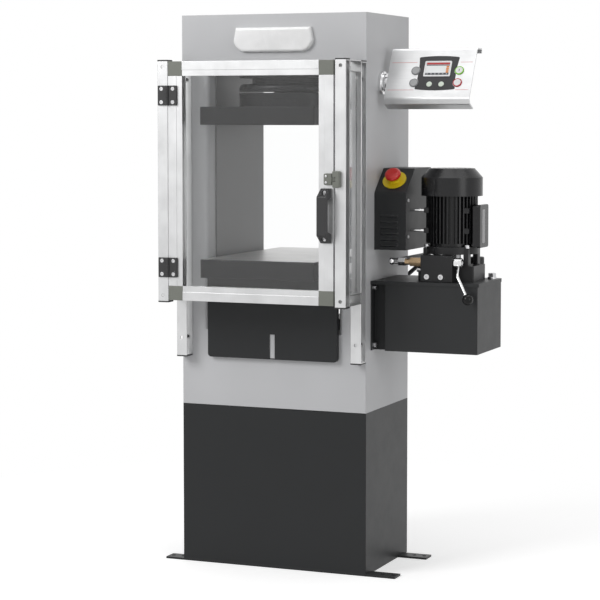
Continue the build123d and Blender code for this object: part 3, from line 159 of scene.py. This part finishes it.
def painted(name, colour, roughness, grain, scale, edge, radius=0.0009, gloss=0.5):
    """Paint with a fine texture, slow changes of tone, and edges painted lighter: partly rubbed paint,
    partly painted highlight.
    """
    material, tree, shader = principled(name, colour, 0.0, roughness)
    where = place(tree)
    normal, edges = soft_edges(tree, radius)
    slow = noise(tree, where, scale=4.0, detail=2.0)
    fine = noise(tree, where, scale=scale, detail=2.0)
    smudge = noise(tree, where, scale=26.0, detail=5.0, rough=0.6)
    toned = two_tones(tree, slow, colour, 0.95, 1.05)
    speck = mix_colour(tree, between(tree, fine, 0.35, 0.75, 0.0, grain * 6), toned, lighter(colour, 1.18))
    # Edges mixed towards a lighter colour: partly rubbed paint, partly a painted highlight.
    edge_wear_and_highlight = mix_colour(tree, math_node(tree, "MULTIPLY", edges, 0.55), speck, lighter(colour, edge))
    tree.links.new(edge_wear_and_highlight, shader.inputs["Base Color"])
    rough = math_node(tree, "ADD", between(tree, smudge, 0.3, 0.7, roughness - 0.025, roughness + 0.025),
                      between(tree, fine, 0.3, 0.7, -0.04, 0.04))
    tree.links.new(rough, shader.inputs["Roughness"])
    tree.links.new(bump(tree, fine, 0.35, grain * 0.001, normal), shader.inputs["Normal"])
    shader.inputs["Specular IOR Level"].default_value = gloss
    return material


def metal(name, colour, roughness, brush, scale, depth, edge=1.15, spread=0.08):
    """Bare metal with brush or turning marks, faint stains, and edges painted lighter: partly worn bright,
    partly painted highlight.
    """
    material, tree, shader = principled(name, colour, 1.0, roughness)
    where = place(tree, brush)
    plain = place(tree)
    normal, edges = soft_edges(tree, radius=0.0006)
    lines = noise(tree, where, scale=scale, detail=4.0, rough=0.65)
    stain = noise(tree, plain, scale=18.0, detail=4.0, rough=0.6)
    toned = two_tones(tree, stain, colour, 0.92, 1.05)
    lined = mix_colour(tree, between(tree, lines, 0.3, 0.7, 0.0, 0.35), toned, lighter(colour, 0.85))
    # Edges mixed towards a lighter colour: partly worn metal, partly a painted highlight.
    edge_wear_and_highlight = mix_colour(tree, math_node(tree, "MULTIPLY", edges, 0.6), lined, lighter(colour, edge))
    tree.links.new(edge_wear_and_highlight, shader.inputs["Base Color"])
    rough = math_node(tree, "ADD", between(tree, lines, 0.25, 0.75, roughness - spread, roughness + spread),
                      between(tree, stain, 0.3, 0.7, -0.03, 0.05))
    tree.links.new(rough, shader.inputs["Roughness"])
    tree.links.new(bump(tree, lines, 0.3, depth, normal), shader.inputs["Normal"])
    return material


def plastic(name, colour, roughness, scale=1600.0, depth=0.00003, coat=0.0, gloss=0.5):
    """Moulded plastic with a fine spark texture."""
    material, tree, shader = principled(name, colour, 0.0, roughness)
    where = place(tree)
    normal, edges = soft_edges(tree, radius=0.0006)
    fine = noise(tree, where, scale=scale, detail=3.0, rough=0.6)
    slow = noise(tree, where, scale=14.0, detail=3.0)
    toned = two_tones(tree, slow, colour, 0.93, 1.06)
    # Edges mixed towards a lighter colour: partly wear, partly a painted highlight.
    edge_wear_and_highlight = mix_colour(tree, math_node(tree, "MULTIPLY", edges, 0.4), toned, lighter(colour, 1.2))
    tree.links.new(edge_wear_and_highlight, shader.inputs["Base Color"])
    rough = math_node(tree, "ADD", between(tree, slow, 0.3, 0.7, roughness - 0.05, roughness + 0.06),
                      between(tree, fine, 0.3, 0.7, -0.03, 0.03))
    tree.links.new(rough, shader.inputs["Roughness"])
    tree.links.new(bump(tree, fine, 0.3, depth, normal), shader.inputs["Normal"])
    shader.inputs["Specular IOR Level"].default_value = gloss
    shader.inputs["Coat Weight"].default_value = coat
    shader.inputs["Coat Roughness"].default_value = 0.12
    return material


def clear_sheet(name):
    """Clear polycarbonate: a little dust in its gloss, and no colour of its own."""
    material, tree, shader = principled(name, (0.985, 0.99, 0.99), 0.0, 0.02)
    shader.inputs["Transmission Weight"].default_value = 1.0
    shader.inputs["IOR"].default_value = 1.45
    shader.inputs["Specular IOR Level"].default_value = 0.2
    dust = noise(tree, place(tree), scale=60.0, detail=6.0, rough=0.7)
    tree.links.new(between(tree, dust, 0.4, 0.8, 0.0, 0.006), shader.inputs["Roughness"])
    return material


def ground_top(name, body, top, level):
    """A dark forging whose upward face is ground bright."""
    material, tree, shader = principled(name, body, 1.0, 0.40)
    normal, edges = soft_edges(tree, radius=0.0008)
    geometry = add(tree, "ShaderNodeNewGeometry")
    parts = add(tree, "ShaderNodeSeparateXYZ")
    tree.links.new(geometry.outputs["Normal"], parts.inputs[0])
    upward = between(tree, parts.outputs["Z"], level, 0.99, 0.0, 1.0)
    lines = noise(tree, place(tree, (0.02, 1.0, 1.0)), scale=1100.0, detail=4.0, rough=0.6)
    stain = noise(tree, place(tree), scale=9.0, detail=4.0, rough=0.6)
    bright = two_tones(tree, stain, top, 0.8, 1.05)
    toned = mix_colour(tree, upward, body, bright)
    # The edges are painted a light steel colour: partly worn bright, partly a painted highlight.
    edge_wear_and_highlight = mix_colour(tree, math_node(tree, "MULTIPLY", edges, 0.5), toned, lighter(top, 0.4))
    tree.links.new(edge_wear_and_highlight, shader.inputs["Base Color"])
    tree.links.new(between(tree, lines, 0.25, 0.75, 0.26, 0.44), shader.inputs["Roughness"])
    tree.links.new(bump(tree, lines, 0.3, 0.00002, normal), shader.inputs["Normal"])
    return material


def guard_screw_metal(name, steel, black):
    """Black screws in the posts; bright ones in the hinges and on the control box."""
    hinge_heights = (1.1915, 0.766)
    hinge_reach = 0.026
    box_side_from = 0.255
    step = 0.001
    material, tree, shader = principled(name, steel, 1.0, 0.3)
    where = place(tree)
    parts = add(tree, "ShaderNodeSeparateXYZ")
    tree.links.new(where, parts.inputs[0])
    bright = between(tree, parts.outputs["X"], box_side_from, box_side_from + step, 0.0, 1.0)
    for height in hinge_heights:
        away = math_node(tree, "ABSOLUTE", math_node(tree, "SUBTRACT", parts.outputs["Z"], height), 0.0)
        near = between(tree, away, hinge_reach, hinge_reach + step, 1.0, 0.0)
        bright = math_node(tree, "MAXIMUM", bright, near)
    marks = noise(tree, where, scale=1200.0, detail=3.0)
    toned = two_tones(tree, marks, steel, 0.9, 1.05)
    tree.links.new(mix_colour(tree, bright, black, toned), shader.inputs["Base Color"])
    normal, edges = soft_edges(tree, radius=0.0004)
    tree.links.new(between(tree, edges, 0.0, 1.0, 0.34, 0.2), shader.inputs["Roughness"])
    tree.links.new(bump(tree, marks, 0.3, 0.00001, normal), shader.inputs["Normal"])
    return material


# Materials

even = (1.0, 1.0, 1.0)
along_x = (0.012, 1.0, 1.0)
along_z = (1.0, 1.0, 0.012)

frame_paint = painted("frame_paint", (0.50, 0.503, 0.515), 0.42, grain=0.03, scale=1100.0, edge=1.15)
# The liner's edges are painted several times lighter than the liner: a painted highlight along its strips.
liner_paint = painted("liner_paint", (0.085, 0.086, 0.088), 0.42, grain=0.03, scale=1100.0, edge=4.5,
                      radius=0.0014)
dark_paint = painted("dark_paint", (0.018, 0.019, 0.020), 0.40, grain=0.06, scale=1300.0, edge=2.4,
                     gloss=0.25)
box_paint = painted("box_paint", (0.020, 0.021, 0.022), 0.42, grain=0.06, scale=1300.0, edge=2.4, gloss=0.28)
motor_paint = painted("motor_paint", (0.010, 0.010, 0.011), 0.26, grain=0.04, scale=700.0, edge=2.8,
                      radius=0.0007, gloss=0.34)
cast_paint = painted("cast_paint", (0.014, 0.014, 0.015), 0.38, grain=0.08, scale=500.0, edge=2.4,
                     radius=0.0007, gloss=0.28)
cylinder_paint = painted("cylinder_paint", (0.030, 0.030, 0.031), 0.42, grain=0.06, scale=800.0, edge=1.6)

profile_metal = metal("profile_metal", (0.60, 0.603, 0.607), 0.38, along_z, scale=900.0, depth=0.00001)
console_metal = metal("console_metal", (0.66, 0.663, 0.667), 0.38, along_x, scale=900.0, depth=0.00001)
platen_steel = metal("platen_steel", (0.020, 0.020, 0.021), 0.40, (0.03, 1.0, 1.0), scale=900.0,
                     depth=0.00002, edge=2.6)
seat_steel = metal("seat_steel", (0.020, 0.020, 0.021), 0.30, (1.0, 1.0, 8.0), scale=300.0,
                   depth=0.00002, edge=2.2)
ram_chrome = metal("ram_chrome", (0.66, 0.66, 0.665), 0.16, (1.0, 1.0, 6.0), scale=300.0, depth=0.000006)
screw_steel = metal("screw_steel", (0.60, 0.60, 0.61), 0.25, even, scale=1200.0, depth=0.00001)
chrome = metal("chrome", (0.78, 0.78, 0.785), 0.09, even, scale=500.0, depth=0.000003, edge=1.1, spread=0.03)
bronze = metal("bronze", (0.46, 0.33, 0.20), 0.26, (8.0, 1.0, 1.0), scale=400.0, depth=0.00001)
lamp_steel = metal("lamp_steel", (0.40, 0.40, 0.41), 0.35, even, scale=900.0, depth=0.00002)
lower_platen_steel = ground_top("lower_platen_steel", (0.020, 0.020, 0.021), (0.56, 0.555, 0.55), level=0.9)
guard_screw_steel = guard_screw_metal("guard_screw_metal", (0.60, 0.60, 0.61), (0.012, 0.012, 0.013))

corner_plastic = plastic("corner_plastic", (0.165, 0.172, 0.150), 0.48)
black_plastic = plastic("black_plastic", (0.016, 0.016, 0.017), 0.46)
knob_plastic = plastic("knob_plastic", (0.006, 0.006, 0.006), 0.20, scale=300.0, depth=0.000005, gloss=0.2)
badge_plastic = plastic("badge_plastic", (0.86, 0.86, 0.862), 0.28, scale=900.0, depth=0.00001, coat=0.4)
yellow_plastic = plastic("yellow_plastic", (0.80, 0.62, 0.01), 0.35, scale=1200.0, depth=0.00001, coat=0.2)
red_plastic = plastic("red_plastic", (0.64, 0.018, 0.014), 0.30, scale=1200.0, depth=0.00001, coat=0.15)
hose_rubber = plastic("hose_rubber", (0.014, 0.014, 0.015), 0.55, scale=900.0, depth=0.00006)
membrane = plastic("membrane", (0.012, 0.012, 0.014), 0.30, scale=1200.0, depth=0.00001, coat=0.2)
bezel_plastic = plastic("bezel_plastic", (0.74, 0.745, 0.75), 0.32, scale=1200.0, depth=0.00001, coat=0.2)
grey_key = plastic("grey_key", (0.20, 0.205, 0.21), 0.40)
green_key = plastic("green_key", (0.20, 0.50, 0.03), 0.40)
red_key = plastic("red_key", (0.42, 0.02, 0.03), 0.40)
pale_key = plastic("pale_key", (0.60, 0.67, 0.58), 0.40)
key_white = plastic("key_white", (0.72, 0.72, 0.72), 0.40)
key_centre = plastic("key_centre", (0.36, 0.365, 0.37), 0.40)
screen_white = plastic("screen_white", (0.74, 0.76, 0.76), 0.30)
screen_red = plastic("screen_red", (0.42, 0.03, 0.03), 0.30)
screen_dark = plastic("screen_dark", (0.035, 0.04, 0.05), 0.30)
screen_orange = plastic("screen_orange", (0.62, 0.20, 0.03), 0.30)
panel_pink = plastic("panel_pink", (0.62, 0.20, 0.20), 0.45)
label_grey = plastic("label_grey", (0.40, 0.40, 0.405), 0.50)
clear_pane = clear_sheet("clear_pane")

finishes = {
    "base_pedestal": dark_paint, "foot_bars": dark_paint, "load_frame": frame_paint,
    "column_liners": liner_paint, "badge_plate": badge_plastic, "lower_front_cover": dark_paint,
    "hydraulic_cylinder": cylinder_paint, "ram_piston": ram_chrome, "lower_platen": lower_platen_steel,
    "upper_seat_housing": seat_steel, "ball_seat": seat_steel, "upper_platen": platen_steel,
    "guard_profiles": profile_metal, "guard_side_panes": clear_pane, "guard_end_caps": black_plastic,
    "guard_screws": guard_screw_steel, "hinge_leaves_post": black_plastic, "latch_keeper": corner_plastic,
    "door_profiles": profile_metal, "door_corner_blocks": corner_plastic, "door_pane": clear_pane,
    "door_handle": black_plastic, "hinge_leaves_door": black_plastic, "door_latch": corner_plastic,
    "door_screws": screw_steel, "oil_tank": box_paint, "tank_lid": box_paint, "cap_screws": screw_steel,
    "manifold_block": cast_paint, "bleed_screw": screw_steel, "valve_lever": chrome,
    "lever_knob": knob_plastic, "bronze_union": bronze, "hose_elbow": chrome,
    "pressure_hose": hose_rubber, "motor_bell": cast_paint, "motor_housing": motor_paint,
    "motor_cowl": motor_paint, "motor_terminal_box": motor_paint, "motor_rotor": lamp_steel,
    "motor_fan": black_plastic, "pump_body": cast_paint, "filler_neck": lamp_steel,
    "filler_cap": black_plastic, "tank_plug": screw_steel, "control_box": box_paint,
    "estop_disc": yellow_plastic, "estop_mushroom": red_plastic, "standoff_rods": chrome,
    "console_collar": chrome, "console_shell": console_metal, "console_case": console_metal,
    "console_overlay": membrane, "console_screen": bezel_plastic,
    "console_key_upper_left": grey_key, "console_key_lower_left": grey_key,
    "console_key_start": green_key, "console_key_stop": red_key,
    "console_key_small_left": pale_key, "console_key_small_right": pale_key,
}
for name, material in finishes.items():
    slots = nodes[name].material_slots
    if not slots:
        nodes[name].data.materials.append(material)
    for entry in slots:
        entry.link = "OBJECT"
        entry.material = material


# Thin pieces: screen, panel lines, key faces, label and rib

mm = 0.001
panel_origin = Vector((271.0, -91.5, 1184.0)) * mm
panel_tilt = math.radians(28.1)
panel_middle = 128.0
screen_middle = 81.8
screen_floor = 1.8
field_thickness = 0.15
bar_thickness = 0.1
line_thickness = 0.12
side_key_pitch = 5.0
low_key_pitch = 10.0
ring_key_offset = 56.3
upper_key_height = 77.3
lower_key_height = 43.5
key_out = 2.2
key_face_radius = 9.0
key_face_thickness = 0.3
label_centre = (512.0, -31.5, 870.5)
rib_centre = (4.0, -155.0, 565.0)
rib_depth = 11.4


def panel_frame():
    """Panel axes: u to the right, v up the slope and w out of the face."""
    sine = math.sin(panel_tilt)
    cosine = math.cos(panel_tilt)
    turn = Matrix(((1.0, 0.0, 0.0), (0.0, sine, -cosine), (0.0, cosine, sine)))
    return Matrix.Translation(panel_origin) @ turn.to_4x4()


def rounded_outline(width, height, radius):
    """Points, in mm, round a rectangle with round corners."""
    steps = 5
    points = []
    corners = ((1, 1, 0.0), (-1, 1, 0.5), (-1, -1, 1.0), (1, -1, 1.5))
    for sx, sy, start in corners:
        for step in range(steps + 1):
            angle = math.pi * (start + 0.5 * step / steps)
            points.append((sx * (width / 2 - radius) + radius * math.cos(angle),
                           sy * (height / 2 - radius) + radius * math.sin(angle)))
    return points


def disc_outline(radius):
    steps = 40
    return [(radius * math.cos(math.tau * k / steps), radius * math.sin(math.tau * k / steps))
            for k in range(steps)]


def thin_plate(name, outline, where, thickness, material, body, axes):
    """A closed thin plate with slightly broken edges. Outline, place and thickness are in mm."""
    shape = bmesh.new()
    corners = [shape.verts.new((x * mm, y * mm, 0.0)) for x, y in outline]
    face = shape.faces.new(corners)
    grown = bmesh.ops.extrude_face_region(shape, geom=[face])
    tops = [g for g in grown["geom"] if isinstance(g, bmesh.types.BMVert)]
    bmesh.ops.translate(shape, verts=tops, vec=(0.0, 0.0, thickness * mm))
    bmesh.ops.recalc_face_normals(shape, faces=shape.faces)
    rims = [e for e in shape.edges if all(v in tops for v in e.verts)]
    broken = min(thickness * 0.3, 0.4) * mm
    bmesh.ops.bevel(shape, geom=rims, offset=broken, segments=2, affect="EDGES")
    mesh = bpy.data.meshes.new(name)
    shape.to_mesh(mesh)
    shape.free()
    mesh.materials.append(material)
    piece = bpy.data.objects.new(name, mesh)
    bpy.context.scene.collection.objects.link(piece)
    piece.matrix_world = axes @ Matrix.Translation(Vector(where) * mm)
    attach(piece, body)


def screen_bar(name, width, height, radius, du, dv, lift, thickness, material):
    """A bar of the screen, its middle du and dv from the screen's, lifted off the screen's floor."""
    where = (panel_middle + du, screen_middle + dv, screen_floor + lift)
    thin_plate(name, rounded_outline(width, height, radius), where, thickness, material,
               "console", panel_frame())


def console_screen():
    top = field_thickness
    screen_bar("screen_field", 61.0, 35.0, 0.8, 0.0, 0.0, 0.0, field_thickness, screen_white)
    screen_bar("screen_top_bar", 60.0, 5.0, 0.8, 0.0, 14.6, top, bar_thickness, screen_red)
    screen_bar("screen_strip", 60.0, 2.6, 0.8, 0.0, 10.2, top, bar_thickness, screen_dark)
    screen_bar("screen_low_row", 60.0, 5.6, 0.8, 0.0, -14.2, top, bar_thickness, screen_dark)
    for k in range(4):
        screen_bar("screen_side_key_%d" % k, 7.0, 4.2, 0.6, 25.5, 6.0 - side_key_pitch * k,
                   top, bar_thickness, screen_orange)
    for k in range(6):
        screen_bar("screen_low_key_%d" % k, 4.0, 3.4, 0.5, -25.0 + low_key_pitch * k, -14.2,
                   top + bar_thickness, bar_thickness, key_centre)


def panel_lines():
    """Two thin lines across the panel, each broken by the membrane."""
    for name, v, start, end in (("low_left", 24.0, 6.0, 74.0), ("low_right", 24.0, 181.0, 215.0),
                                ("high_left", 101.0, 6.0, 72.0), ("high_right", 101.0, 184.0, 215.0)):
        thin_plate("panel_line_" + name, rounded_outline(end - start, 1.1, 0.3), ((start + end) / 2, v, 0.0),
                   line_thickness, panel_pink, "console", panel_frame())


def key_faces():
    axes = panel_frame()
    left = panel_middle - ring_key_offset
    right = panel_middle + ring_key_offset
    keys = (("upper_left", left, upper_key_height, key_centre),
            ("lower_left", left, lower_key_height, key_centre),
            ("start", right, upper_key_height, key_white),
            ("stop", right, lower_key_height, key_white))
    for name, u, v, material in keys:
        thin_plate("key_face_" + name, disc_outline(key_face_radius), (u, v, key_out), key_face_thickness,
                   material, "key_" + name, axes)
    thin_plate("key_mark_start", rounded_outline(1.6, 6.4, 0.6),
               (right, upper_key_height, key_out + key_face_thickness), line_thickness,
               screen_dark, "key_start", axes)


def cover_rib():
    """Light rib on the frame that shows through the slot of the lower cover."""
    forward = Matrix(((1.0, 0.0, 0.0), (0.0, 0.0, -1.0), (0.0, 1.0, 0.0)))
    axes = Matrix.Translation(Vector(rib_centre) * mm) @ forward.to_4x4()
    thin_plate("cover_rib", rounded_outline(18.0, 61.0, 1.0), (0.0, 0.0, 0.0), rib_depth, frame_paint,
               "machine", axes)


def terminal_label():
    """Bare label on the right face of the motor's terminal box."""
    rightward = Matrix(((0.0, 0.0, 1.0), (1.0, 0.0, 0.0), (0.0, 1.0, 0.0)))
    axes = Matrix.Translation(Vector(label_centre) * mm) @ rightward.to_4x4()
    thin_plate("terminal_label", rounded_outline(21.0, 83.0, 1.5), (0.0, 0.0, 0.0), 0.25, label_grey,
               "machine", axes)


console_screen()
panel_lines()
key_faces()
cover_rib()
terminal_label()


# Floor, light and camera

floor_size = 12.0
floor_drop = 0.0002
floor_glow = 0.48
fade_from = 0.75
fade_to = 1.5
ambient_strength = 0.38
camera_lens = 122.65
camera_shift = -0.0833
camera_place = (2.0137, -4.84846, 1.14728)
camera_dip = 0.0667
camera_turn = 0.3919


def floor_material():
    """Pale floor that keeps the shadow and goes over into the white of the background."""
    material = bpy.data.materials.new("studio_floor")
    material.use_nodes = True
    tree = material.node_tree
    tree.nodes.clear()
    out = add(tree, "ShaderNodeOutputMaterial")
    diffuse = add(tree, "ShaderNodeBsdfDiffuse")
    diffuse.inputs["Color"].default_value = (0.80, 0.80, 0.80, 1.0)
    glow = add(tree, "ShaderNodeEmission")
    seen = seen_rays(tree)
    tree.links.new(math_node(tree, "MULTIPLY", seen, floor_glow), glow.inputs["Strength"])
    both = add(tree, "ShaderNodeAddShader")
    tree.links.new(diffuse.outputs[0], both.inputs[0])
    tree.links.new(glow.outputs[0], both.inputs[1])
    white = add(tree, "ShaderNodeEmission")
    white.inputs["Strength"].default_value = 1.0
    where = add(tree, "ShaderNodeTexCoord")
    length = add(tree, "ShaderNodeVectorMath", operation="LENGTH")
    tree.links.new(where.outputs["Object"], length.inputs[0])
    far = between(tree, length.outputs["Value"], fade_from, fade_to, 0.0, 1.0)
    far_seen = math_node(tree, "MULTIPLY", far, seen)
    blend = add(tree, "ShaderNodeMixShader")
    tree.links.new(far_seen, blend.inputs["Fac"])
    tree.links.new(both.outputs[0], blend.inputs[1])
    tree.links.new(white.outputs[0], blend.inputs[2])
    tree.links.new(blend.outputs[0], out.inputs["Surface"])
    return material


def studio_floor():
    mesh = bpy.data.meshes.new("studio_floor")
    shape = bmesh.new()
    bmesh.ops.create_grid(shape, x_segments=1, y_segments=1, size=floor_size)
    shape.to_mesh(mesh)
    shape.free()
    floor = bpy.data.objects.new("studio_floor", mesh)
    floor.location.z = cad_box[0][2] - floor_drop
    bpy.context.scene.collection.objects.link(floor)
    mesh.materials.append(floor_material())


def background(tree, strength):
    """An even white background of that strength."""
    shade = add(tree, "ShaderNodeBackground")
    shade.inputs["Color"].default_value = (1.0, 1.0, 1.0, 1.0)
    shade.inputs["Strength"].default_value = strength
    return shade.outputs[0]


def studio_world():
    world = bpy.data.worlds.new("studio")
    bpy.context.scene.world = world
    world.use_nodes = True
    tree = world.node_tree
    tree.nodes.clear()
    out = add(tree, "ShaderNodeOutputWorld")
    seen = seen_rays(tree)
    ambient = background(tree, ambient_strength)
    white = background(tree, 1.0)
    blend = add(tree, "ShaderNodeMixShader")
    tree.links.new(seen, blend.inputs["Fac"])
    tree.links.new(ambient, blend.inputs[1])
    tree.links.new(white, blend.inputs[2])
    tree.links.new(blend.outputs[0], out.inputs["Surface"])


def area_light(name, position, target, size, power):
    light = bpy.data.lights.new(name, "AREA")
    light.shape = "RECTANGLE"
    light.size, light.size_y = size
    light.energy = power
    lamp = bpy.data.objects.new(name, light)
    lamp.location = position
    lamp.rotation_euler = (Vector(target) - Vector(position)).to_track_quat("-Z", "Y").to_euler()
    bpy.context.scene.collection.objects.link(lamp)


def studio_camera():
    data = bpy.data.cameras.new("camera")
    camera = bpy.data.objects.new("camera", data)
    data.sensor_width = 36.0
    data.lens = camera_lens
    data.shift_y = camera_shift
    data.clip_end = 100.0
    camera.location = camera_place
    camera.rotation_euler = (math.pi / 2 - camera_dip, 0.0, camera_turn)
    bpy.context.scene.collection.objects.link(camera)
    bpy.context.scene.camera = camera


studio_floor()
studio_world()
area_light("key", position=(-2.2, -3.2, 3.0), target=(0.0, 0.0, 0.8), size=(2.0, 2.0), power=95.0)
area_light("fill", position=(3.6, -2.0, 1.6), target=(0.1, 0.0, 0.7), size=(1.6, 2.4), power=26.0)
area_light("top", position=(0.2, 0.2, 3.6), target=(0.1, 0.0, 0.5), size=(2.4, 2.4), power=30.0)
studio_camera()
bpy.context.scene.view_settings.view_transform = "Standard"
